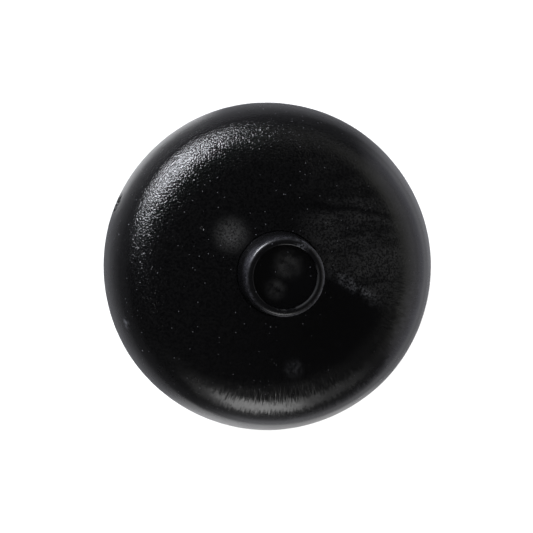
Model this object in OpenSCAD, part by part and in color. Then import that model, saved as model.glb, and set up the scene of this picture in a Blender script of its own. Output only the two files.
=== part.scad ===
// Lawn bowl: a solid moulded composition bowl with a turned mount let into each side.
// It lies on its plain side, so +Z is the rolling axis and points out of the raised bias mount.
// The origin is the middle of the flat land of the plain mount, which is the lowest face.

/* [Bowl body] */
// Largest diameter, at the crown of the running surface
bowl_diameter = 124; // [118:0.5:131]
// Cross radius of the running surface on the bias side of the crown
bias_running_radius = 60; // [58:1:66]
// Cross radius of the running surface on the plain side of the crown
plain_running_radius = 66; // [60:1:72]
// Radius of the shoulder between the running surface and each face
shoulder_radius = 17; // [15:0.5:19]
// Slope of the surface where the running surface meets the shoulder
shoulder_start_slope = 66; // [64:1:68]
// Slope of the slightly crowned face where it meets the shoulder
face_edge_slope = 11; // [8:1:14]

/* [Collar round the bias mount] */
// Radius at which the face starts to rise towards the mount
collar_radius = 26; // [24:0.5:30]
// Radius of the hollow curve of the collar
collar_hollow_radius = 110; // [80:5:150]

/* [Bias mount] */
// Height from the joint with the body up to the crest of the rim
bias_mount_height = 16.5; // [10:0.5:18]
// Radius of the crest of the rim round the dished end
crest_radius = 11.9; // [11.6:0.1:12.6]
// Radius that rounds the crest over into the side
crest_rounding = 1.8; // [1:0.1:2.4]
// Draft of the side, which widens towards the foot
side_draft = 4; // [1:0.5:6]
// Radius of the hollow fillet at the foot
foot_fillet = 1.5; // [0.8:0.1:3]
// Slope at which the foot meets the joint with the body
foot_slope = 58; // [50:1:65]
// Depth from the crest down to the rim of the inlay disc
bias_dish_depth = 1.7; // [1:0.1:2.5]

/* [Plain mount] */
// Outside radius of the plain mount
plain_mount_radius = 17.5; // [16.5:0.5:20]
// Height of the flat land above the face round it
plain_mount_stand = 1.2; // [0.8:0.1:2]
// Radius that rounds the outside edge of the land
plain_edge_rounding = 1; // [0.5:0.1:1.2]
// Depth from the land down to the rim of the inlay disc
plain_dish_depth = 1; // [0.5:0.1:1.5]

/* [Fixings] */
// Diameter of the screw that holds each mount
screw_diameter = 5; // [4:0.5:6]
// Length of screw that enters the body
screw_engagement = 16; // [12:1:20]
// Gap all round between a mount and its socket
glue_gap = 0.1; // [0.05:0.01:0.2]
// Width of the visible joint round each mount
joint_width = 0.35; // [0.2:0.05:0.5]

/* [Hidden] */
$fn = 180;

arc_steps = 24;
small_arc_steps = 8;

bowl_radius = bowl_diameter / 2;
seat_depth = 2;
spigot_radius = 9.5;
spigot_length = 7;
disc_radius = 10.9;
disc_thickness = 1.6;
disc_hollow = 0.6;
recess_radius = disc_radius + glue_gap;
edge_break = 0.4;
screw_radius = screw_diameter / 2;
screw_head_radius = screw_diameter * 0.95;
screw_head_height = screw_head_radius - screw_radius;
screw_clearance = 0.25;
slot_width = 1.2;
slot_depth = 1.2;
thread_gap = 0.05;

// A point where the outward normal of a round curve leans from the axis by the given slope.
// Points are [radius from the axis, height]. A negative radius gives a hollow curve.
function on_arc(centre, radius, slope) = centre + radius * [sin(slope), cos(slope)];

function arc(centre, radius, from_slope, to_slope, steps) =
    [for (i = [0 : steps]) on_arc(centre, radius, from_slope + (to_slope - from_slope) * i / steps)];

// Each side of the body, as heights above the crown: running surface, shoulder, then face.
function running_centre(running_radius) = [bowl_radius - running_radius, 0];

function shoulder_centre(running_radius) =
    on_arc(running_centre(running_radius), running_radius - shoulder_radius, shoulder_start_slope);

function face_edge(running_radius) =
    on_arc(shoulder_centre(running_radius), shoulder_radius, face_edge_slope);

function face_radius(running_radius) = face_edge(running_radius)[0] / sin(face_edge_slope);

function face_centre(running_radius) =
    [0, face_edge(running_radius)[1] - face_radius(running_radius) * cos(face_edge_slope)];

function face_slope(running_radius, at_radius) = asin(at_radius / face_radius(running_radius));

function face_point(running_radius, at_radius) =
    on_arc(
        face_centre(running_radius), face_radius(running_radius),
        face_slope(running_radius, at_radius)
    );

function side_curve(running_radius, inner_radius) = concat(
    arc(running_centre(running_radius), running_radius, 90, shoulder_start_slope, arc_steps),
    arc(
        shoulder_centre(running_radius), shoulder_radius,
        shoulder_start_slope, face_edge_slope, arc_steps
    ),
    arc(
        face_centre(running_radius), face_radius(running_radius),
        face_edge_slope, face_slope(running_radius, inner_radius), small_arc_steps
    )
);

// The side of the bias mount, as heights above its joint with the body.
side_slope = 90 - side_draft;
crest_centre = [crest_radius, bias_mount_height - crest_rounding];
side_top = on_arc(crest_centre, crest_rounding, side_slope);
side_bottom_height = foot_fillet * (cos(foot_slope) - cos(side_slope));
side_bottom = [
    side_top[0] + (side_top[1] - side_bottom_height) * tan(side_draft),
    side_bottom_height
];
fillet_centre = on_arc(side_bottom, foot_fillet, side_slope);
foot_radius = on_arc(fillet_centre, -foot_fillet, foot_slope)[0];
bias_socket_radius = foot_radius + joint_width;

// The collar is a hollow curve that leaves the face smoothly and ends at the bias joint.
collar_slope = face_slope(bias_running_radius, collar_radius);
collar_foot = face_point(bias_running_radius, collar_radius);
collar_centre = on_arc(collar_foot, collar_hollow_radius, collar_slope);
collar_end_slope = asin((collar_centre[0] - bias_socket_radius) / collar_hollow_radius);
bias_joint_height = on_arc(collar_centre, -collar_hollow_radius, collar_end_slope)[1];

plain_socket_radius = plain_mount_radius + joint_width;
plain_joint_height = face_point(plain_running_radius, plain_socket_radius)[1];

// Heights in the frame of the part.
crown_z = plain_joint_height + plain_mount_stand;
bias_seat_z = crown_z + bias_joint_height - seat_depth;
plain_seat_z = plain_mount_stand + seat_depth;

// Heights above each mount's own seat.
bias_crest = seat_depth + bias_mount_height;
bias_floor = bias_crest - bias_dish_depth - disc_thickness;
plain_floor = plain_seat_z - plain_dish_depth - disc_thickness;

function flipped(points) = [for (i = [len(points) - 1 : -1 : 0]) [points[i][0], -points[i][1]]];

// The outline of the body with its sockets still filled, from the plain face round to the bias face.
function body_outline() = concat(
    [[0, -plain_joint_height]],
    flipped(side_curve(plain_running_radius, plain_socket_radius)),
    side_curve(bias_running_radius, collar_radius),
    arc(collar_centre, -collar_hollow_radius, collar_slope, collar_end_slope, arc_steps),
    [[0, bias_joint_height]]
);

function bias_mount_outline() = concat(
    [
        [0, -spigot_length],
        [spigot_radius, -spigot_length],
        [spigot_radius, 0],
        [foot_radius, 0]
    ],
    [
        for (point = arc(fillet_centre, -foot_fillet, foot_slope, side_slope, small_arc_steps))
            point + [0, seat_depth]
    ],
    [
        for (point = arc(crest_centre, crest_rounding, side_slope, 0, 2 * small_arc_steps))
            point + [0, seat_depth]
    ],
    arc(
        [recess_radius + edge_break, bias_crest - edge_break],
        edge_break, 0, -90, small_arc_steps
    ),
    [
        [recess_radius, bias_floor],
        [0, bias_floor]
    ]
);

function plain_mount_outline() = concat(
    [
        [0, -spigot_length],
        [spigot_radius, -spigot_length],
        [spigot_radius, 0],
        [plain_mount_radius, 0]
    ],
    arc(
        [plain_mount_radius - plain_edge_rounding, plain_seat_z - plain_edge_rounding],
        plain_edge_rounding, 90, 0, small_arc_steps
    ),
    arc(
        [recess_radius + edge_break, plain_seat_z - edge_break],
        edge_break, 0, -90, small_arc_steps
    ),
    [
        [recess_radius, plain_floor],
        [0, plain_floor]
    ]
);

// Parts of the bias side are drawn with their seat at height 0 and their outer end upwards.
module on_bias_side() {
    translate([0, 0, bias_seat_z])
        children();
}

module on_plain_side() {
    translate([0, 0, plain_seat_z])
        mirror([0, 0, 1])
            children();
}

module socket(radius) {
    cylinder(h = seat_depth + plain_joint_height, r = radius);
    translate([0, 0, -spigot_length - glue_gap])
        cylinder(h = spigot_length + glue_gap + seat_depth, r = spigot_radius + glue_gap);
    translate([0, 0, -spigot_length - glue_gap - screw_engagement])
        cylinder(h = screw_engagement + spigot_length, r = screw_radius + thread_gap);
}

module screw_hole(floor_height) {
    translate([0, 0, -2 * spigot_length])
        cylinder(
            h = 2 * spigot_length + floor_height + disc_thickness,
            r = screw_radius + screw_clearance
        );
    translate([0, 0, floor_height - screw_head_height - screw_clearance])
        cylinder(
            h = screw_head_height + screw_clearance,
            r1 = screw_radius,
            r2 = screw_head_radius + screw_clearance
        );
}

module mount_screw(floor_height) {
    difference() {
        union() {
            translate([0, 0, -spigot_length - screw_engagement])
                cylinder(
                    h = spigot_length + screw_engagement + floor_height - screw_head_height,
                    r = screw_radius
                );
            translate([0, 0, floor_height - screw_head_height])
                cylinder(h = screw_head_height, r1 = screw_radius, r2 = screw_head_radius);
        }
        translate([-screw_head_radius, -slot_width / 2, floor_height - slot_depth])
            cube([2 * screw_head_radius, slot_width, 2 * slot_depth]);
    }
}

module inlay_disc(floor_height) {
    hollow_radius = (disc_radius * disc_radius + disc_hollow * disc_hollow) / (2 * disc_hollow);
    rotate_extrude()
        polygon(concat(
            [[0, floor_height], [disc_radius, floor_height]],
            arc(
                [0, floor_height + disc_thickness - disc_hollow + hollow_radius],
                -hollow_radius, -asin(disc_radius / hollow_radius), 0, small_arc_steps
            )
        ));
}

module bowl_body() {
    color("#18181b")
        difference() {
            translate([0, 0, crown_z])
                rotate_extrude()
                    polygon(body_outline());
            on_bias_side()
                socket(bias_socket_radius);
            on_plain_side()
                socket(plain_socket_radius);
        }
}

module bias_mount() {
    color("#202024")
        on_bias_side()
            difference() {
                rotate_extrude()
                    polygon(bias_mount_outline());
                screw_hole(bias_floor);
            }
}

module bias_inlay_disc() {
    color("#101013")
        on_bias_side()
            inlay_disc(bias_floor);
}

module bias_mount_screw() {
    color("#b59a55")
        on_bias_side()
            mount_screw(bias_floor);
}

module plain_mount() {
    color("#202024")
        on_plain_side()
            difference() {
                rotate_extrude()
                    polygon(plain_mount_outline());
                screw_hole(plain_floor);
            }
}

module plain_inlay_disc() {
    color("#101013")
        on_plain_side()
            inlay_disc(plain_floor);
}

module plain_mount_screw() {
    color("#b59a55")
        on_plain_side()
            mount_screw(plain_floor);
}

bowl_body();
bias_mount();
bias_inlay_disc();
bias_mount_screw();
plain_mount();
plain_inlay_disc();
plain_mount_screw();
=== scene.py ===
"""Looks of the lawn bowl: moulded black composition with a turned mount let into each side."""

import math

import bmesh
import bpy
import numpy as np
from mathutils import Matrix, Quaternion, Vector

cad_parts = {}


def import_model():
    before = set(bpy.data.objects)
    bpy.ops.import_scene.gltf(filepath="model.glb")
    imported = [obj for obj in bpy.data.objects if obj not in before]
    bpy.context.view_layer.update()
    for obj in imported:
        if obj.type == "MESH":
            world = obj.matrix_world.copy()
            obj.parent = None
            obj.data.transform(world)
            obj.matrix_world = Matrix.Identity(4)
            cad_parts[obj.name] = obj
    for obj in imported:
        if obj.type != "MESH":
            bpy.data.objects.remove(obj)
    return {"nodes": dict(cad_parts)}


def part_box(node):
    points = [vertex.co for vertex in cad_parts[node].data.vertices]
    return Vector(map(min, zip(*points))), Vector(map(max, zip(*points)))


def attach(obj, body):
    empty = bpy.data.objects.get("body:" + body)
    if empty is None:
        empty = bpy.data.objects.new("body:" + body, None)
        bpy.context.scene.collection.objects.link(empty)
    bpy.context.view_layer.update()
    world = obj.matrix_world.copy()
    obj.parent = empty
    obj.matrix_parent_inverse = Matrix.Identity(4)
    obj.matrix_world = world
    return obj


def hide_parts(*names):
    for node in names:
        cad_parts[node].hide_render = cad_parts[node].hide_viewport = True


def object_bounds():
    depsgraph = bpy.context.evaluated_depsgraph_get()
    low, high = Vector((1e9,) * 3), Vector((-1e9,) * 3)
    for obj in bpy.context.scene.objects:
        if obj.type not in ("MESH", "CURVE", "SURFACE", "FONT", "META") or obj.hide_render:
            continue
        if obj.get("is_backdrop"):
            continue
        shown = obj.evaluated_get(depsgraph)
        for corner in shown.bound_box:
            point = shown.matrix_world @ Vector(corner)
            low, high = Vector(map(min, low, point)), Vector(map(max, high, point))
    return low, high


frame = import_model()
cad_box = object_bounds()

MM = 0.001

# ---------------------------------------------------------------- sizes, as on the CAD model

BIAS_RUNNING_RADIUS = 60 * MM
PLAIN_RUNNING_RADIUS = 66 * MM
SHOULDER_RADIUS = 17 * MM
SHOULDER_START_SLOPE = math.radians(66)
FACE_EDGE_SLOPE = math.radians(11)
COLLAR_RADIUS = 26 * MM
COLLAR_HOLLOW_RADIUS = 110 * MM

CREST_RADIUS = 11.9 * MM
CREST_ROUNDING = 1.8 * MM
SIDE_DRAFT = math.radians(4)
FOOT_FILLET = 1.5 * MM
FOOT_SLOPE = math.radians(58)
PLAIN_EDGE_ROUNDING = 1 * MM

SEAT_DEPTH = 2 * MM
SPIGOT_RADIUS = 9.5 * MM
GLUE_GAP = 0.1 * MM
JOINT_WIDTH = 0.35 * MM
EDGE_BREAK = 0.4 * MM
DISC_HOLLOW = 0.6 * MM
SCREW_RADIUS = 2.5 * MM

ARC_STEPS = 24
SMALL_ARC_STEPS = 10
SHARP_EDGE = math.radians(40)
TOUCHING = 1e-9

body_low, body_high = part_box("bowl_body")
bias_low, bias_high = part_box("bias_mount")
plain_low, plain_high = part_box("plain_mount")
bias_disc_low, bias_disc_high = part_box("bias_inlay_disc")
plain_disc_low, plain_disc_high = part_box("plain_inlay_disc")
bias_screw_low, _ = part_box("bias_mount_screw")
_, plain_screw_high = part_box("plain_mount_screw")

bowl_radius = (body_high[0] - body_low[0]) / 2
disc_radius = (bias_disc_high[0] - bias_disc_low[0]) / 2
plain_mount_radius = (plain_high[0] - plain_low[0]) / 2
bias_foot_radius = (bias_high[0] - bias_low[0]) / 2
bias_joint_z = body_high[2]
plain_joint_z = body_low[2]


# ---------------------------------------------------------------- outlines, as (radius, height)

def on_arc(centre, radius, slope):
    """The point of a round curve where its normal leans from the axis by slope."""
    return (centre[0] + radius * math.sin(slope), centre[1] + radius * math.cos(slope))


def arc(centre, radius, start, end, steps=ARC_STEPS):
    return [on_arc(centre, radius, start + (end - start) * i / steps) for i in range(steps + 1)]


def side_curve(running_radius, inner_radius):
    """One side of the body from its crown to inner_radius on its face, with heights above the crown."""
    running_centre = (bowl_radius - running_radius, 0)
    shoulder_centre = on_arc(running_centre, running_radius - SHOULDER_RADIUS, SHOULDER_START_SLOPE)
    edge = on_arc(shoulder_centre, SHOULDER_RADIUS, FACE_EDGE_SLOPE)
    face_radius = edge[0] / math.sin(FACE_EDGE_SLOPE)
    face_centre = (0, edge[1] - face_radius * math.cos(FACE_EDGE_SLOPE))
    inner_slope = math.asin(inner_radius / face_radius)
    curve = arc(running_centre, running_radius, math.pi / 2, SHOULDER_START_SLOPE)
    curve += arc(shoulder_centre, SHOULDER_RADIUS, SHOULDER_START_SLOPE, FACE_EDGE_SLOPE)[1:]
    curve += arc(face_centre, face_radius, FACE_EDGE_SLOPE, inner_slope)[1:]
    return curve, inner_slope


def shifted(points, height, flip=False):
    return [(r, height - z if flip else height + z) for r, z in points]


def spaced(points, step):
    """The same outline with no two points further apart than step."""
    result = [points[0]]
    for start, end in zip(points, points[1:]):
        count = max(1, math.ceil(math.dist(start, end) / step))
        for i in range(1, count + 1):
            result.append(tuple(a + (b - a) * i / count for a, b in zip(start, end)))
    return result


plain_side, _ = side_curve(PLAIN_RUNNING_RADIUS, plain_mount_radius + JOINT_WIDTH)
crown_z = plain_joint_z + plain_side[-1][1]


def body_outline():
    """The body from the bottom of the plain screw hole, round the outside, to the bias screw hole."""
    bias_side, collar_slope = side_curve(BIAS_RUNNING_RADIUS, COLLAR_RADIUS)
    collar_foot = bias_side[-1]
    collar_centre = on_arc(collar_foot, COLLAR_HOLLOW_RADIUS, collar_slope)
    socket_radius = bias_foot_radius + JOINT_WIDTH
    end_slope = math.asin((collar_centre[0] - socket_radius) / COLLAR_HOLLOW_RADIUS)
    collar = arc(collar_centre, -COLLAR_HOLLOW_RADIUS, collar_slope, end_slope)[1:]
    outside = shifted(plain_side[::-1], crown_z, flip=True)
    outside += shifted(bias_side[1:] + collar, crown_z)
    plain_hole = [
        (0, plain_screw_high[2]),
        (SCREW_RADIUS, plain_screw_high[2]),
        (SCREW_RADIUS, plain_high[2] + GLUE_GAP),
        (SPIGOT_RADIUS + GLUE_GAP, plain_high[2] + GLUE_GAP),
        (SPIGOT_RADIUS + GLUE_GAP, plain_joint_z + SEAT_DEPTH),
        (plain_mount_radius + JOINT_WIDTH, plain_joint_z + SEAT_DEPTH),
    ]
    bias_hole = [
        (socket_radius, bias_joint_z - SEAT_DEPTH),
        (SPIGOT_RADIUS + GLUE_GAP, bias_joint_z - SEAT_DEPTH),
        (SPIGOT_RADIUS + GLUE_GAP, bias_low[2] - GLUE_GAP),
        (SCREW_RADIUS, bias_low[2] - GLUE_GAP),
        (SCREW_RADIUS, bias_screw_low[2]),
        (0, bias_screw_low[2]),
    ]
    return plain_hole + outside + bias_hole


def bias_mount_outline():
    """The raised mount from the middle of its dished end down to the bottom of its screw hole."""
    crest_z = bias_high[2]
    floor_z = bias_disc_low[2]
    recess_radius = disc_radius + GLUE_GAP
    side_slope = math.pi / 2 - SIDE_DRAFT
    crest_centre = (CREST_RADIUS, crest_z - CREST_ROUNDING)
    crest = arc(crest_centre, CREST_ROUNDING, 0, side_slope)
    side_bottom_z = bias_joint_z + FOOT_FILLET * (math.cos(FOOT_SLOPE) - math.cos(side_slope))
    side_bottom_radius = crest[-1][0] + (crest[-1][1] - side_bottom_z) * math.tan(SIDE_DRAFT)
    fillet_centre = on_arc((side_bottom_radius, side_bottom_z), FOOT_FILLET, side_slope)
    inner_edge = arc(
        (recess_radius + EDGE_BREAK, crest_z - EDGE_BREAK), EDGE_BREAK, -math.pi / 2, 0, SMALL_ARC_STEPS
    )
    return (
        [(SCREW_RADIUS, bias_low[2]), (SCREW_RADIUS, floor_z), (recess_radius, floor_z)]
        + inner_edge
        + crest
        + arc(fillet_centre, -FOOT_FILLET, side_slope, FOOT_SLOPE, SMALL_ARC_STEPS)
        + [
            (bias_foot_radius, bias_joint_z - SEAT_DEPTH),
            (SPIGOT_RADIUS, bias_joint_z - SEAT_DEPTH),
            (SPIGOT_RADIUS, bias_low[2]),
            (SCREW_RADIUS, bias_low[2]),
        ]
    )


def plain_mount_outline():
    """The low mount from its screw hole, across the recess and the flat land, to the screw hole again."""
    floor_z = plain_disc_high[2]
    recess_radius = disc_radius + GLUE_GAP
    seat_z = plain_joint_z + SEAT_DEPTH
    inner_centre = (recess_radius + EDGE_BREAK, -EDGE_BREAK)
    outer_centre = (plain_mount_radius - PLAIN_EDGE_ROUNDING, -PLAIN_EDGE_ROUNDING)
    inner_edge = arc(inner_centre, EDGE_BREAK, -math.pi / 2, 0, SMALL_ARC_STEPS)
    outer_edge = arc(outer_centre, PLAIN_EDGE_ROUNDING, 0, math.pi / 2, SMALL_ARC_STEPS)
    return (
        [(SCREW_RADIUS, plain_high[2]), (SCREW_RADIUS, floor_z), (recess_radius, floor_z)]
        + shifted(inner_edge + outer_edge, 0, flip=True)
        + [
            (plain_mount_radius, seat_z),
            (SPIGOT_RADIUS, seat_z),
            (SPIGOT_RADIUS, plain_high[2]),
            (SCREW_RADIUS, plain_high[2]),
        ]
    )


def inlay_disc_outline(low_z, high_z, flip):
    """A disc with a hollow face. Its flat back lies on the floor of the mount's recess."""
    hollow_radius = (disc_radius ** 2 + DISC_HOLLOW ** 2) / (2 * DISC_HOLLOW)
    back_z, rim_z = (high_z, low_z) if flip else (low_z, high_z)
    outward = -1 if flip else 1
    face = []
    for i in range(SMALL_ARC_STEPS + 1):
        r = disc_radius * i / SMALL_ARC_STEPS
        rise = hollow_radius - math.sqrt(hollow_radius ** 2 - r ** 2)
        face.append((r, rim_z - outward * (DISC_HOLLOW - rise)))
    return [(0, back_z), (disc_radius, back_z)] + face[::-1]


# ---------------------------------------------------------------- mesh building

def waves(points, wavelength, count, seed):
    """Smooth seeded unevenness, mostly between -1 and 1, at each point."""
    rng = np.random.default_rng(seed)
    directions = rng.normal(size=(count, 3))
    directions /= np.linalg.norm(directions, axis=1)[:, None]
    phases = rng.uniform(0, 2 * math.pi, count)
    angles = points @ directions.T * (2 * math.pi / wavelength) + phases
    return np.sin(angles).sum(axis=1) / math.sqrt(count)


def step(value, low, high):
    """0 below low, 1 above high, smooth between. Low may be above high."""
    t = np.clip((value - low) / (high - low), 0, 1)
    return t * t * (3 - 2 * t)


def ring(radius, height, degrees):
    angles = np.radians(degrees)
    return np.column_stack([radius * np.cos(angles), radius * np.sin(angles), np.full(len(angles), height)])


def bands(rows, closed):
    """Faces between each row of corners and the next. A row of one corner closes to a point."""
    for first, second in zip(rows, rows[1:] + rows[:1] if closed else rows[1:]):
        for i in range(max(len(first), len(second))):
            a, b = first[i % len(first)], first[(i + 1) % len(first)]
            c, d = second[(i + 1) % len(second)], second[i % len(second)]
            yield list(dict.fromkeys((a, b, c, d)))


def lathe(name, outline, degrees, relief=None):
    """A closed turned piece with corners at the given angles.

    Its outline starts and ends on the axis, or ends where it starts. Relief is a function that gives
    how far each point moves along its normal.
    """
    closed = math.dist(outline[0], outline[-1]) < TOUCHING
    rows = []
    points = []
    count = 0
    for radius, height in outline[:-1] if closed else outline:
        corners = ring(radius, height, degrees[:1] if radius < TOUCHING else degrees)
        points.append(corners)
        rows.append(range(count, count + len(corners)))
        count += len(corners)
    points = np.concatenate(points)
    mesh = bpy.data.meshes.new(name)
    mesh.from_pydata(points, [], list(bands(rows, closed)))
    turned = bmesh.new()
    turned.from_mesh(mesh)
    bmesh.ops.recalc_face_normals(turned, faces=turned.faces)
    turned.to_mesh(mesh)
    turned.free()
    mesh.shade_smooth()
    if relief:
        normals = np.empty(points.size)
        mesh.vertices.foreach_get("normal", normals)
        points += normals.reshape(-1, 3) * relief(points)[:, None]
        mesh.vertices.foreach_set("co", points.ravel())
        mesh.update()
    mesh.set_sharp_from_angle(angle=SHARP_EDGE)
    piece = bpy.data.objects.new(name, mesh)
    bpy.context.scene.collection.objects.link(piece)
    return piece


# ---------------------------------------------------------------- shader building

def polar(radius, degrees, height):
    angle = math.radians(degrees)
    return (radius * math.cos(angle), radius * math.sin(angle), height)


class Shader:
    """A material's node tree, with one short call for each kind of node.

    Every mask runs from 0 to 1. The fineness of a pattern is in repeats per metre.
    """

    def __init__(self, name):
        self.material = bpy.data.materials.new(name)
        self.material.use_nodes = True
        self.nodes = self.material.node_tree.nodes
        self.links = self.material.node_tree.links
        self.surface = self.nodes["Principled BSDF"]
        self.position = self.nodes.new("ShaderNodeTexCoord").outputs["Object"]

    def feed(self, socket, value):
        if isinstance(value, bpy.types.NodeSocket):
            self.links.new(value, socket)
        else:
            socket.default_value = value

    def node(self, kind, inputs, output=0, **settings):
        made = self.nodes.new("ShaderNode" + kind)
        for key, value in settings.items():
            setattr(made, key, value)
        for key, value in inputs.items():
            self.feed(made.inputs[key], value)
        return made.outputs[output]

    # Arithmetic

    def math(self, operation, *values):
        return self.node("Math", dict(enumerate(values)), operation=operation)

    def vector(self, operation, *values, output=0, **inputs):
        return self.node("VectorMath", dict(enumerate(values)) | inputs, output, operation=operation)

    def chain(self, operation, values):
        result = values[0]
        for value in values[1:]:
            result = self.math(operation, result, value)
        return result

    def product(self, *values):
        return self.chain("MULTIPLY", values)

    def highest(self, *values):
        return self.chain("MAXIMUM", values)

    def ramp(self, value, low, high, start=0.0, end=1.0):
        """Start below low, end above high, and a smooth step between."""
        inputs = {"Value": value, "From Min": low, "From Max": high, "To Min": start, "To Max": end}
        return self.node("MapRange", inputs, interpolation_type="SMOOTHSTEP")

    def mix(self, factor, first, second):
        return self.node("Mix", {"Factor": factor, "A": first, "B": second})

    def mix_colour(self, factor, first, second):
        inputs = {0: factor, 6: first, 7: second}
        return self.node("Mix", inputs, 2, data_type="RGBA")

    # Places on the object

    def height(self):
        return self.node("SeparateXYZ", {"Vector": self.position}, "Z")

    def flat(self):
        """The position without its height."""
        return self.vector("MULTIPLY", self.position, (1, 1, 0))

    def outward(self):
        """The direction straight out from the rolling axis."""
        return self.vector("NORMALIZE", self.flat())

    def axis_distance(self):
        """Distance from the rolling axis."""
        return self.vector("LENGTH", self.flat(), output="Value")

    def along(self, direction, offset=0, wander=None, reach=0.0):
        """How far a point lies past offset in a direction. Wander bends the line by up to reach."""
        distance = self.vector("DOT_PRODUCT", self.position, direction, output="Value")
        distance = self.math("SUBTRACT", distance, offset)
        if wander:
            distance = self.math("MULTIPLY_ADD", self.math("SUBTRACT", wander, 0.5), reach, distance)
        return distance

    def near(self, centre, inner, outer):
        """One within inner of a point, falling to none at outer."""
        distance = self.vector("DISTANCE", self.position, centre, output="Value")
        return self.ramp(distance, inner, outer, 1.0, 0.0)

    # Patterns

    def stretched(self, x, y, z):
        """The position scaled along each axis, for a pattern that runs one way."""
        return self.vector("MULTIPLY", self.position, (x, y, z))

    def noise(self, fineness, detail=2.0, roughness=0.5, where=None):
        where = where or self.position
        inputs = {"Vector": where, "Scale": fineness, "Detail": detail, "Roughness": roughness}
        return self.node("TexNoise", inputs)

    def patches(self, fineness, detail, low, high, start=0.0, end=1.0, roughness=0.5):
        """Noise sharpened into patches: start where it is below low, end where it is above high."""
        return self.ramp(self.noise(fineness, detail, roughness), low, high, start, end)

    def cells(self, spacing, output):
        return self.node("TexVoronoi", {"Vector": self.position, "Scale": 1 / spacing}, output)

    def specks(self, spacing, size, share):
        """Tiny round specks, in a share of the cells of a grid. Their size is a part of the spacing."""
        lottery = self.node("SeparateColor", {"Color": self.cells(spacing, "Color")}, "Red")
        speck = self.math("LESS_THAN", self.cells(spacing, "Distance"), size)
        return self.product(speck, self.math("LESS_THAN", lottery, share))

    # Surface

    def bump(self, height, distance, normal=None):
        inputs = {"Height": height, "Distance": distance, "Strength": 1.0}
        if normal:
            inputs["Normal"] = normal
        return self.node("Bump", inputs)

    def tilt(self, normal, direction, amount):
        """The normal leaned along a direction."""
        lean = self.vector("SCALE", direction, Scale=amount)
        return self.vector("NORMALIZE", self.vector("ADD", normal, lean))

    def finish(self, **inputs):
        for key, value in inputs.items():
            self.feed(self.surface.inputs[key.replace("_", " ")], value)
        return self.material


# ---------------------------------------------------------------- wear and marks

# The moulded pebble survives only inside a circle a little off centre. Play has polished it off outside.
WORN_CENTRE = (-0.08 * bowl_radius, 0.12 * bowl_radius, 0)
WORN_RADIUS = 0.78 * bowl_radius
WORN_FADE = 0.04 * bowl_radius
PEBBLE_SIZE = 0.58 * MM
PEBBLE_DEPTH = 0.28 * MM
GRAIN_SIZE = 0.8 * MM
SCRATCH_DEPTH = 0.004 * MM
STREAK_LEAN = 0.56

# Chips knocked out of the running surface: degrees round, height above the crown, radius and depth.
CHIPS = (
    (154.6, 9.0 * MM, 1.2 * MM, 0.50 * MM),
    (155.6, 5.5 * MM, 2.0 * MM, 0.90 * MM),
    (156.6, 9.3 * MM, 1.7 * MM, 0.75 * MM),
    (157.6, 6.0 * MM, 1.9 * MM, 0.85 * MM),
    (158.5, 9.0 * MM, 1.4 * MM, 0.55 * MM),
    (159.4, 5.5 * MM, 1.4 * MM, 0.50 * MM),
)
# The floor of a chip and the inner and outer edge of its dark colour, as shares of its radius.
CHIP_FLOOR = 0.35
CHIP_DARK_INNER = 0.62
CHIP_DARK_OUTER = 0.78
# The part of the body that needs a fine mesh for the chips, in degrees round and in height.
CHIP_SECTOR = (151, 163)
CHIP_BAND = (crown_z + 2 * MM, crown_z + 12 * MM)


def running_point(degrees, height):
    """A point of the running surface, by degrees round and height above the crown."""
    across = math.sqrt(BIAS_RUNNING_RADIUS ** 2 - height ** 2)
    return polar(bowl_radius - BIAS_RUNNING_RADIUS + across, degrees, crown_z + height)


# Directions across the bias face, as the camera sees it.
UPPER_LEFT = (-0.7, 0.7, 0)
LOWER_RIGHT = (0.7, -0.7, 0)
LEFT_AND_UP = (-0.8, 0.5, 0)
DOWNWARD = (0.2, -0.98, 0)
RIGHTWARD = (1, 0.25, 0)

# The haze ends at a slanting edge set on the edge of the boss's shadow, so the bare face below it is
# partly painted shadow, and a dark line crosses it. Each is given by the direction across it and by how
# far it lies from the rolling axis.
FILM_EDGE_ACROSS = (0.553, 0.834, 0)
FILM_EDGE_OFFSET = 9.76 * MM
EDGE_DUST_OFFSET = 10.6 * MM
LINE_ACROSS = (0.2, 0.98, 0)
LINE_OFFSET = 26.8 * MM

# Round marks: the middle, the radius within which the mark is full and the radius at which it ends.
HAZE_SPREAD = (polar(25 * MM, 14, body_high[2]), 10 * MM, 30 * MM)
EDGE_DUST_SPREAD = (polar(27 * MM, -11, body_high[2]), 6 * MM, 14 * MM)
# Painted highlight: a paler, rougher spot on the collar above the upper left of the raised mount.
PAINTED_HIGHLIGHT_SPOT = (polar(22 * MM, 141, body_high[2]), 0, 9 * MM)
SMUDGE = (polar(35 * MM, -81, body_high[2]), 1.5 * MM, 5.5 * MM)
SCUFF = (running_point(199, 24 * MM), 0, 3.4 * MM)
CREST_KNOCK = (polar(CREST_RADIUS, 62, bias_high[2]), 0, 3.5 * MM)
# Painted highlight on the upper left of the raised mount's side wall.
PAINTED_WALL_HIGHLIGHT_SPOT = (polar(13.6 * MM, 152, bias_high[2] - 2 * MM), 1 * MM, 9 * MM)
DISC_STAINS = (
    ((0.85 * MM, 4.0 * MM, bias_disc_high[2]), 0, 7 * MM),
    ((-3.2 * MM, -4.1 * MM, bias_disc_high[2]), 0, 5 * MM),
)

# How strongly each kind of mark covers the black.
HAZE_STRENGTH = 0.5
# Painted glitter: the grain painted paler toward the upper left.
GRAIN_GLITTER_STRENGTH = 0.07
EDGE_DUST_STRENGTH = 0.30
SCUFF_STRENGTH = 0.9
SMUDGE_STRENGTH = 0.22
KNOCK_STRENGTH = 0.5
STAIN_STRENGTH = 0.55


# ---------------------------------------------------------------- materials

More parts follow.
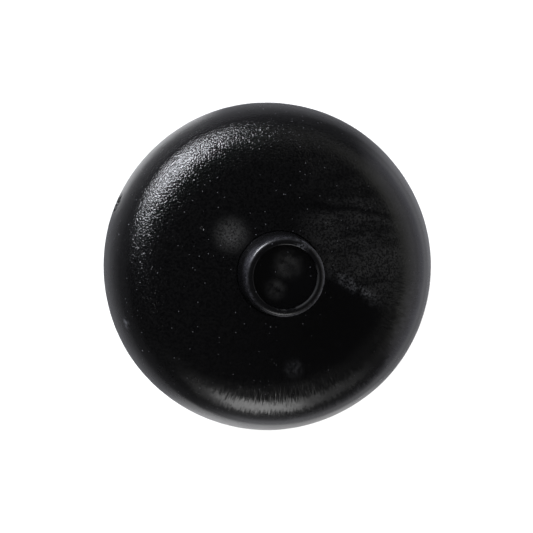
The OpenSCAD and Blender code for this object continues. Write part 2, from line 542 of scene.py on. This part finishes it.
BLACK = (0.0009, 0.0009, 0.0011, 1)
RESIN = (0.0018, 0.0018, 0.0021, 1)
# Pale film colour, also the colour of the painted highlight spot and the painted glitter grain.
HAZE_AND_SHEEN = (0.0205, 0.0205, 0.0205, 1)
# Paler grey of the painted sheen on the raised mount's side wall.
PAINTED_SHEEN_GREY = (0.034, 0.034, 0.040, 1)
# Dust colour, also the colour of the painted glitter specks.
DUST_AND_GLITTER = (0.060, 0.062, 0.070, 1)
CHIPPED = (0.0006, 0.0006, 0.0006, 1)
BRASS = (0.55, 0.40, 0.16, 1)
TARNISHED = (0.24, 0.16, 0.07, 1)

# Roughness of the painted highlight spot on the collar.
PAINTED_HIGHLIGHT_ROUGHNESS = 0.45
DUSTY_ROUGHNESS = 0.75
MOUNT_SPECULAR = 0.3
TOOL_RING_FINENESS = 3000
TOOL_RING_DEPTH = 0.006 * MM


def composition_normal(s, pebbled):
    """Pebble in the worn circle, scratches round the running surface and streaks down the lower shoulder."""
    radius = s.axis_distance()
    outward = s.outward()
    pebble = s.product(
        s.noise(1 / PEBBLE_SIZE, 1.0, 0.6),
        pebbled,
        s.product(
            s.ramp(radius, 30 * MM, 46 * MM, 0.25, 1.0),
            s.ramp(s.along(UPPER_LEFT), 5 * MM, 25 * MM, 0.35, 1.0),
        ),
    )
    scratches = s.product(s.noise(1, 3.0, 0.6, s.stretched(45, 45, 2600)), s.ramp(radius, 50 * MM, 55 * MM))
    streak_pattern = s.vector("ADD", s.vector("SCALE", outward, Scale=112), s.stretched(330, 330, 330))
    streaked = s.product(
        s.ramp(radius, 38 * MM, 44 * MM),
        s.ramp(radius, 51 * MM, 55 * MM, 1.0, 0.0),
        s.ramp(s.along(DOWNWARD), 5 * MM, 20 * MM, 0.15, 1.0),
    )
    streaks = s.product(s.math("SUBTRACT", s.noise(1, 2.0, 0.6, streak_pattern), 0.5), streaked, STREAK_LEAN)
    normal = s.bump(pebble, PEBBLE_DEPTH)
    normal = s.bump(scratches, SCRATCH_DEPTH, normal)
    return s.tilt(normal, outward, streaks)


def face_haze(s, grain):
    """A pale film on the right of the bias face. It is bare along a line, and below a slanting edge set on
    the boss's shadow edge, so that bare part is partly painted shadow.
    """
    edge = s.along(FILM_EDGE_ACROSS, FILM_EDGE_OFFSET, s.noise(150, 3.0), 5 * MM)
    line = s.math("ABSOLUTE", s.along(LINE_ACROSS, LINE_OFFSET, s.noise(60, 2.0), 4 * MM))
    return s.product(
        s.ramp(edge, -2 * MM, 3 * MM),
        s.ramp(s.along(RIGHTWARD), 0, 24 * MM),
        s.ramp(line, 0.3 * MM, 1.6 * MM, 0.25, 1.0),
        s.math("GREATER_THAN", s.height(), crown_z),
        s.ramp(s.noise(1, 4.0, 0.6, s.stretched(60, 200, 110)), 0.3, 0.65, 0.25, 1.0),
        s.ramp(s.near(*HAZE_SPREAD), 0.0, 1.0, 0.3, 1.0),
        s.ramp(grain, 0.0, 1.0, 0.2, 1.0),
    )


def body_dust_and_glitter(s, grain, painted_glitter_side):
    """Dust along the film's edge, a scuff on the left edge, a smudge at the bottom, and scattered specks that
    fade away from the upper left, partly painted glitter.
    """
    from_edge = s.math("ABSOLUTE", s.along(FILM_EDGE_ACROSS, EDGE_DUST_OFFSET))
    edge_dust = s.product(
        s.ramp(from_edge, 0.6 * MM, 3.2 * MM, 1.0, 0.0),
        s.near(*EDGE_DUST_SPREAD),
        s.patches(260, 5.0, 0.36, 0.66, roughness=0.6),
        grain,
    )
    scuff = s.product(s.near(*SCUFF), s.patches(700, 4.0, 0.4, 0.6))
    smudge = s.product(s.near(*SMUDGE), s.patches(900, 4.0, 0.34, 0.7, 0.15, 1.0))
    specks = s.highest(s.specks(1.8 * MM, 0.085, 0.6), s.specks(7 * MM, 0.045, 0.6))
    return s.highest(
        s.product(edge_dust, EDGE_DUST_STRENGTH),
        s.product(scuff, SCUFF_STRENGTH),
        s.product(smudge, SMUDGE_STRENGTH),
        s.product(specks, painted_glitter_side),
    )


def chip_marks(s):
    """The broken surface inside the chips."""
    marks = [
        s.near(running_point(degrees, height), CHIP_DARK_INNER * size, CHIP_DARK_OUTER * size)
        for degrees, height, size, _ in CHIPS
    ]
    return s.product(s.highest(*marks), s.math("MULTIPLY_ADD", s.noise(1500, 3.0), 0.5, 0.75))


def composition():
    """Black moulded composition: pebbled faces, and a running surface polished by play."""
    s = Shader("composition")
    worn_distance = s.vector("DISTANCE", s.flat(), WORN_CENTRE, output="Value")
    pebbled = s.ramp(worn_distance, WORN_RADIUS - WORN_FADE, WORN_RADIUS + WORN_FADE, 1.0, 0.0)
    grain = s.patches(1 / GRAIN_SIZE, 1.5, 0.36, 0.64, roughness=0.6)
    # Painted glitter: specks and grain painted paler toward the upper left, the side of the key light.
    painted_glitter_side = s.ramp(s.along(LEFT_AND_UP), -30 * MM, 20 * MM, 0.15, 1.0)
    # Painted highlight: a paler, rougher spot on the collar by the raised mount.
    painted_sheen = s.product(s.near(*PAINTED_HIGHLIGHT_SPOT), s.patches(1500, 2.0, 0.3, 0.65, 0.3, 1.0))
    dust_and_glitter = body_dust_and_glitter(s, grain, painted_glitter_side)
    chipped = chip_marks(s)

    # The pale film, whose lower edge is partly painted shadow, with the painted highlight spot and paler
    # painted glitter grain toward the upper left.
    film_and_sheen = s.highest(
        s.product(face_haze(s, grain), HAZE_STRENGTH),
        painted_sheen,
        s.product(grain, painted_glitter_side, GRAIN_GLITTER_STRENGTH),
    )
    colour = s.mix_colour(film_and_sheen, BLACK, HAZE_AND_SHEEN)
    colour = s.mix_colour(dust_and_glitter, colour, DUST_AND_GLITTER)
    colour = s.mix_colour(chipped, colour, CHIPPED)

    polished = s.mix(s.noise(140, 4.0), 0.22, 0.31)
    moulded = s.mix(s.noise(300, 4.0), 0.13, 0.19)
    rough = s.mix(pebbled, polished, moulded)
    rough = s.mix(painted_sheen, rough, PAINTED_HIGHLIGHT_ROUGHNESS)
    rough = s.mix(s.highest(dust_and_glitter, chipped), rough, DUSTY_ROUGHNESS)
    return s.finish(Base_Color=colour, Roughness=rough, Normal=composition_normal(s, pebbled))


def mount_resin():
    """Turned black resin: fine tool rings, a painted sheen on the upper side wall that is strongest in a
    painted highlight toward the upper left, and a crest knocked in places.
    """
    s = Shader("mount_resin")
    radius = s.axis_distance()
    height = s.height()
    turned = s.node(
        "CombineXYZ", {"X": s.product(radius, TOOL_RING_FINENESS), "Y": s.product(height, TOOL_RING_FINENESS)}
    )
    normal = s.bump(s.noise(1, 2.0, 0.5, turned), TOOL_RING_DEPTH)
    normal = s.bump(s.noise(350, 4.0), 0.06 * MM, normal)

    upper = s.ramp(height, bias_high[2] - 11 * MM, bias_high[2] - 1 * MM)
    outside = s.ramp(radius, 12.4 * MM, 13.2 * MM)
    # Painted sheen: the upper side wall painted paler in patches, with a painted highlight toward the upper
    # left.
    painted_sheen = s.product(upper, outside, s.patches(900, 3.0, 0.35, 0.65, 0.05, 0.4, roughness=0.65))
    painted_wall_highlight = s.product(s.near(*PAINTED_WALL_HIGHLIGHT_SPOT), s.patches(900, 3.0, 0.3, 0.7, 0.3, 1.0), outside)
    knocked = s.product(s.near(*CREST_KNOCK), s.patches(900, 3.0, 0.4, 0.6), KNOCK_STRENGTH)
    colour = s.mix_colour(s.highest(painted_sheen, painted_wall_highlight), RESIN, PAINTED_SHEEN_GREY)
    colour = s.mix_colour(s.highest(s.specks(1.7 * MM, 0.09, 0.35), knocked), colour, DUST_AND_GLITTER)

    crest = s.product(
        s.ramp(height, bias_high[2] - 4 * MM, bias_high[2] - 2 * MM),
        s.ramp(radius, 11.4 * MM, 11.8 * MM),
    )
    inner_edge = s.ramp(radius, 11.4 * MM, 11.7 * MM, 1.0, 0.0)
    lower_right = s.ramp(s.along(LOWER_RIGHT), 3 * MM, 6 * MM)
    side_rough = s.mix(s.noise(500, 3.0), 0.20, 0.34)
    crest_rough = s.mix(s.noise(700, 3.0), 0.22, 0.34)
    edge_rough = s.mix(lower_right, 0.18, s.patches(420, 2.0, 0.50, 0.60, 0.75, 0.22))
    rough = s.mix(inner_edge, s.mix(crest, side_rough, crest_rough), edge_rough)
    s.surface.inputs["Specular IOR Level"].default_value = MOUNT_SPECULAR
    return s.finish(Base_Color=colour, Roughness=rough, Normal=normal)


def inlay_resin():
    """Smooth dished resin, stained in two pools on the bias side and all over on the plain side."""
    s = Shader("inlay_resin")
    pools = [s.near(*stain) for stain in DISC_STAINS]
    on_plain_side = s.math("LESS_THAN", s.height(), crown_z)
    stains = s.product(s.highest(*pools, on_plain_side), s.patches(330, 4.0, 0.25, 0.7, roughness=0.6))
    colour = s.mix_colour(s.product(stains, STAIN_STRENGTH), BLACK, HAZE_AND_SHEEN)
    colour = s.mix_colour(s.specks(2.1 * MM, 0.07, 0.5), colour, DUST_AND_GLITTER)
    normal = s.bump(s.noise(500, 4.0), 0.02 * MM)
    return s.finish(Base_Color=colour, Roughness=s.mix(stains, 0.20, 0.34), Normal=normal)


def screw_brass():
    """Turned brass, a little tarnished."""
    s = Shader("screw_brass")
    tarnish = s.patches(380, 5.0, 0.4, 0.7, roughness=0.6)
    rings = s.noise(1, 2.0, 0.5, s.stretched(200, 200, 6000))
    return s.finish(
        Base_Color=s.mix_colour(tarnish, BRASS, TARNISHED),
        Metallic=1.0,
        Roughness=s.mix(tarnish, 0.28, 0.5),
        Normal=s.bump(rings, 0.01 * MM),
    )


# ---------------------------------------------------------------- pieces

BODY_SEGMENTS = 400
MOUNT_SEGMENTS = 320
CHIP_SEGMENT = 0.36

CHIP_ROW = 0.4 * MM
MOUNT_ROW = 0.5 * MM
SKIN_ROW = 1.6 * MM
HIDDEN_ROW = 10 * MM

WAVE_REACH = 1.6
SLOW_WEAR = 0.14 * MM
FINE_WEAR = 0.025 * MM
CHIP_RAGGEDNESS = 0.35
KNOCK_DEPTH = 0.14 * MM
CREST_WEAR = 0.01 * MM


def even_angles(segments):
    return np.arange(segments) * (360 / segments)


def body_angles():
    """Even steps round the body, with finer ones across the chips."""
    even = even_angles(BODY_SEGMENTS)
    low, high = CHIP_SECTOR
    fine = np.arange(low, high, CHIP_SEGMENT)
    return np.concatenate([even[even < low], fine, even[even >= high]])


def body_rows():
    """The body outline with close rows across the chips and wider ones over the rest of the skin."""
    outline = body_outline()
    chip_low, chip_high = CHIP_BAND
    rows = [outline[0]]
    for start, end in zip(outline, outline[1:]):
        middle_z = (start[1] + end[1]) / 2
        spacing = HIDDEN_ROW
        if min(start[0], end[0]) > bias_foot_radius:
            spacing = CHIP_ROW if chip_low < middle_z < chip_high else SKIN_ROW
        rows += spaced([start, end], spacing)[1:]
    return rows


def body_relief(points):
    """Inward only: long slow unevenness, finer wear, and the chips. The faces by the mounts stay true."""
    radius = np.hypot(points[:, 0], points[:, 1])
    free = step(radius, plain_mount_radius + 1 * MM, plain_mount_radius + 7 * MM)
    slow = SLOW_WEAR * step(waves(points, 42 * MM, count=14, seed=3), -WAVE_REACH, WAVE_REACH)
    fine = FINE_WEAR * step(waves(points, 6 * MM, count=40, seed=5), -WAVE_REACH, WAVE_REACH)
    depth = free * (slow + fine)
    ragged = 1 + CHIP_RAGGEDNESS * waves(points, 1.1 * MM, count=30, seed=8)
    for degrees, height, size, deep in CHIPS:
        distance = np.linalg.norm(points - np.array(running_point(degrees, height)), axis=1) * ragged
        depth = np.maximum(depth, deep * step(distance, size, CHIP_FLOOR * size))
    return -depth


def mount_relief(points):
    """Small nicks and knocks along the crest of the raised mount, inward only."""
    radius = np.hypot(points[:, 0], points[:, 1])
    high = step(points[:, 2], bias_high[2] - 3 * MM, bias_high[2] - 1 * MM)
    crest = high * step(radius, 11.2 * MM, 11.8 * MM)
    knocks = KNOCK_DEPTH * step(waves(points, 2.4 * MM, count=36, seed=21), 1.1, 2.4)
    wear = CREST_WEAR * step(waves(points, 7 * MM, count=20, seed=22), -1.5, 1.5)
    return -crest * (knocks + wear)


def place(piece, material, node):
    piece.data.materials.append(material)
    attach(piece, "root")
    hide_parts(node)


place(lathe("bowl_skin", body_rows(), body_angles(), body_relief), composition(), "bowl_body")

mount_angles = even_angles(MOUNT_SEGMENTS)
raised_outline = spaced(bias_mount_outline(), MOUNT_ROW)
resin = mount_resin()
place(lathe("raised_mount", raised_outline, mount_angles, mount_relief), resin, "bias_mount")
place(lathe("flat_mount", plain_mount_outline(), mount_angles), resin, "plain_mount")

inlay = inlay_resin()
for name, node, low, high, flip in (
    ("raised_mount_disc", "bias_inlay_disc", bias_disc_low, bias_disc_high, False),
    ("flat_mount_disc", "plain_inlay_disc", plain_disc_low, plain_disc_high, True),
):
    place(lathe(name, inlay_disc_outline(low[2], high[2], flip), mount_angles), inlay, node)

# The screws are hidden, so they keep their CAD meshes.
brass = screw_brass()
for node in ("bias_mount_screw", "plain_mount_screw"):
    frame["nodes"][node].data.materials.clear()
    frame["nodes"][node].data.materials.append(brass)


# ---------------------------------------------------------------- floor, light and camera

FLOOR_WIDTH = 12
FLOOR_ROUGHNESS = 0.9

# What the camera sees of the floor, and the painted light and shade of the floor the bowl mirrors in each
# part of it.
FLOOR_SEEN_BY_CAMERA = (0.93, 0.93, 0.93, 1)
FLOOR_CLOSE = (0.18, 0.18, 0.19, 1)
FLOOR_FAR = (0.05, 0.05, 0.053, 1)
FLOOR_FRONT_CLOSE = (0.27, 0.27, 0.285, 1)
FLOOR_FRONT = (0.52, 0.52, 0.545, 1)
FLOOR_FRONT_FAR = (0.16, 0.16, 0.17, 1)
FLOOR_RIGHT_FAR = (0.37, 0.37, 0.42, 1)
# Painted glow of lamplight on the floor the bowl mirrors.
FLOOR_PAINTED_LAMPLIGHT = (0.9, 0.9, 0.9, 1)

ROOM_SEEN = 1.15
ROOM_MIRRORED = 0.015

WHITE = (1, 1, 1)
COOL = (0.92, 0.94, 1.0)
LILAC = (0.93, 0.92, 1.0)
PALE_LILAC = (0.98, 0.97, 1.0)
WARM = (1.0, 1.0, 0.92)

# Name, azimuth and elevation in degrees, distance, width and height in metres, radiance, colour,
# and roll in degrees.
SOFTBOXES = (
    ("key", 130, 15, 1.0, 0.45, 0.31, 40, COOL, 0),
    ("key_spill", 131, 20, 1.0, 1.1, 0.8, 0.95, COOL, 0),
    ("low_fill", -90, 27, 1.0, 0.50, 0.42, 4.5, WHITE, 18),
    ("low_high", -84, 39, 1.0, 0.5, 0.24, 0.9, WHITE, 18),
    ("low_spill", -85, 27, 1.0, 1.3, 0.5, 0.5, WHITE, 18),
    ("right_low", 4, 6, 0.9, 1.5, 0.4, 0.60, LILAC, 0),
    ("right_middle", 2, 25, 1.0, 1.3, 0.36, 0.62, PALE_LILAC, 0),
    ("right_high", 4, 43, 1.0, 1.0, 0.30, 0.37, WARM, 0),
    ("right_back", 62, 29, 1.0, 1.0, 0.55, 0.22, WARM, 0),
)

# The camera looks along the rolling axis, leaned a little to one side.
LEAN = math.radians(7.6)
LEAN_AZIMUTH = 149.5
CAMERA_DISTANCE = 8 * bowl_radius
LENS = 87.95
SENSOR_WIDTH = 36
SHIFT_X = -0.00124
SHIFT_Y = -0.0004


def floor():
    """A white floor. The bowl mirrors a darker one with painted light and shade: brighter close to it and out
    to the front right, with painted pools of lamplight behind and in front.
    """
    bpy.ops.mesh.primitive_plane_add(size=FLOOR_WIDTH)
    plane = bpy.context.object
    plane.name = "floor"
    s = Shader("floor")
    distance = s.axis_distance()
    around = s.vector("NORMALIZE", s.position)

    def towards(azimuth, narrow, wide):
        """One within narrow degrees of an azimuth, falling to none at wide."""
        match = s.vector("DOT_PRODUCT", around, polar(1, azimuth, 0), output="Value")
        return s.ramp(match, math.cos(math.radians(wide)), math.cos(math.radians(narrow)))

    mirrored = s.mix_colour(s.ramp(distance, 82 * MM, 130 * MM), FLOOR_CLOSE, FLOOR_FAR)
    front = s.mix_colour(s.ramp(distance, 140 * MM, 185 * MM), FLOOR_FRONT_CLOSE, FLOOR_FRONT)
    far = s.mix_colour(towards(5, 20, 60), FLOOR_FRONT_FAR, FLOOR_RIGHT_FAR)
    front = s.mix_colour(s.ramp(distance, 210 * MM, 300 * MM), front, far)
    mirrored = s.mix_colour(towards(-30, 60, 86), mirrored, front)
    # Painted pools of lamplight on the mirrored floor: behind the bowl toward the key, and in front toward
    # the low fill.
    behind = s.product(towards(133, 14, 32), s.ramp(distance, 78 * MM, 100 * MM, 0.75, 0.0))
    before = s.product(towards(-84, 18, 45), s.ramp(distance, 100 * MM, 150 * MM, 0.57, 0.0))
    mirrored = s.mix_colour(s.highest(behind, before), mirrored, FLOOR_PAINTED_LAMPLIGHT)
    is_camera = s.node("LightPath", {}, "Is Camera Ray")
    colour = s.mix_colour(is_camera, mirrored, FLOOR_SEEN_BY_CAMERA)
    s.surface.inputs["Specular IOR Level"].default_value = 0
    plane.data.materials.append(s.finish(Base_Color=colour, Roughness=FLOOR_ROUGHNESS))
    plane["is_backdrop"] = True


def world():
    """A bright room to the camera, and an almost dark one in mirrored light."""
    made = bpy.data.worlds.new("studio")
    bpy.context.scene.world = made
    made.use_nodes = True
    tree = made.node_tree
    path = tree.nodes.new("ShaderNodeLightPath")
    mix = tree.nodes.new("ShaderNodeMix")
    mix.data_type = "RGBA"
    mix.inputs[6].default_value = (ROOM_SEEN, ROOM_SEEN, ROOM_SEEN, 1)
    mix.inputs[7].default_value = (ROOM_MIRRORED, ROOM_MIRRORED, ROOM_MIRRORED, 1)
    tree.links.new(path.outputs["Is Glossy Ray"], mix.inputs[0])
    tree.links.new(mix.outputs[2], tree.nodes["Background"].inputs["Color"])


def softbox(name, azimuth, elevation, distance, width, height, radiance, colour, roll):
    """A rectangular light that faces the bowl. Its power follows from how bright its face looks."""
    data = bpy.data.lights.new(name, "AREA")
    data.shape = "RECTANGLE"
    data.size = width
    data.size_y = height
    data.energy = radiance * math.pi * width * height
    data.color = colour
    lamp = bpy.data.objects.new(name, data)
    rise = math.radians(elevation)
    direction = Vector(polar(math.cos(rise), azimuth, math.sin(rise)))
    lamp.location = Vector((0, 0, crown_z)) + direction * distance
    facing = direction.to_track_quat("Z", "Y")
    lamp.rotation_euler = (facing @ Quaternion((0, 0, 1), math.radians(roll))).to_euler()
    bpy.context.scene.collection.objects.link(lamp)


def camera():
    data = bpy.data.cameras.new("camera")
    data.lens = LENS
    data.sensor_width = SENSOR_WIDTH
    data.shift_x = SHIFT_X
    data.shift_y = SHIFT_Y
    eye = bpy.data.objects.new("camera", data)
    back = Vector(polar(math.sin(LEAN), LEAN_AZIMUTH, math.cos(LEAN)))
    up = Vector((0, 1, 0))
    right = up.cross(back).normalized()
    turn = Matrix((right, back.cross(right), back)).transposed().to_4x4()
    eye.matrix_world = Matrix.Translation(Vector((0, 0, crown_z)) + back * CAMERA_DISTANCE) @ turn
    bpy.context.scene.collection.objects.link(eye)
    bpy.context.scene.camera = eye


floor()
world()
for settings in SOFTBOXES:
    softbox(*settings)
camera()
bpy.context.scene.view_settings.view_transform = "Standard"

sizes = {"cad": cad_box, "visual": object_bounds()}
sizes = {key: [[float(v) for v in corner] for corner in corners] for key, corners in sizes.items()}
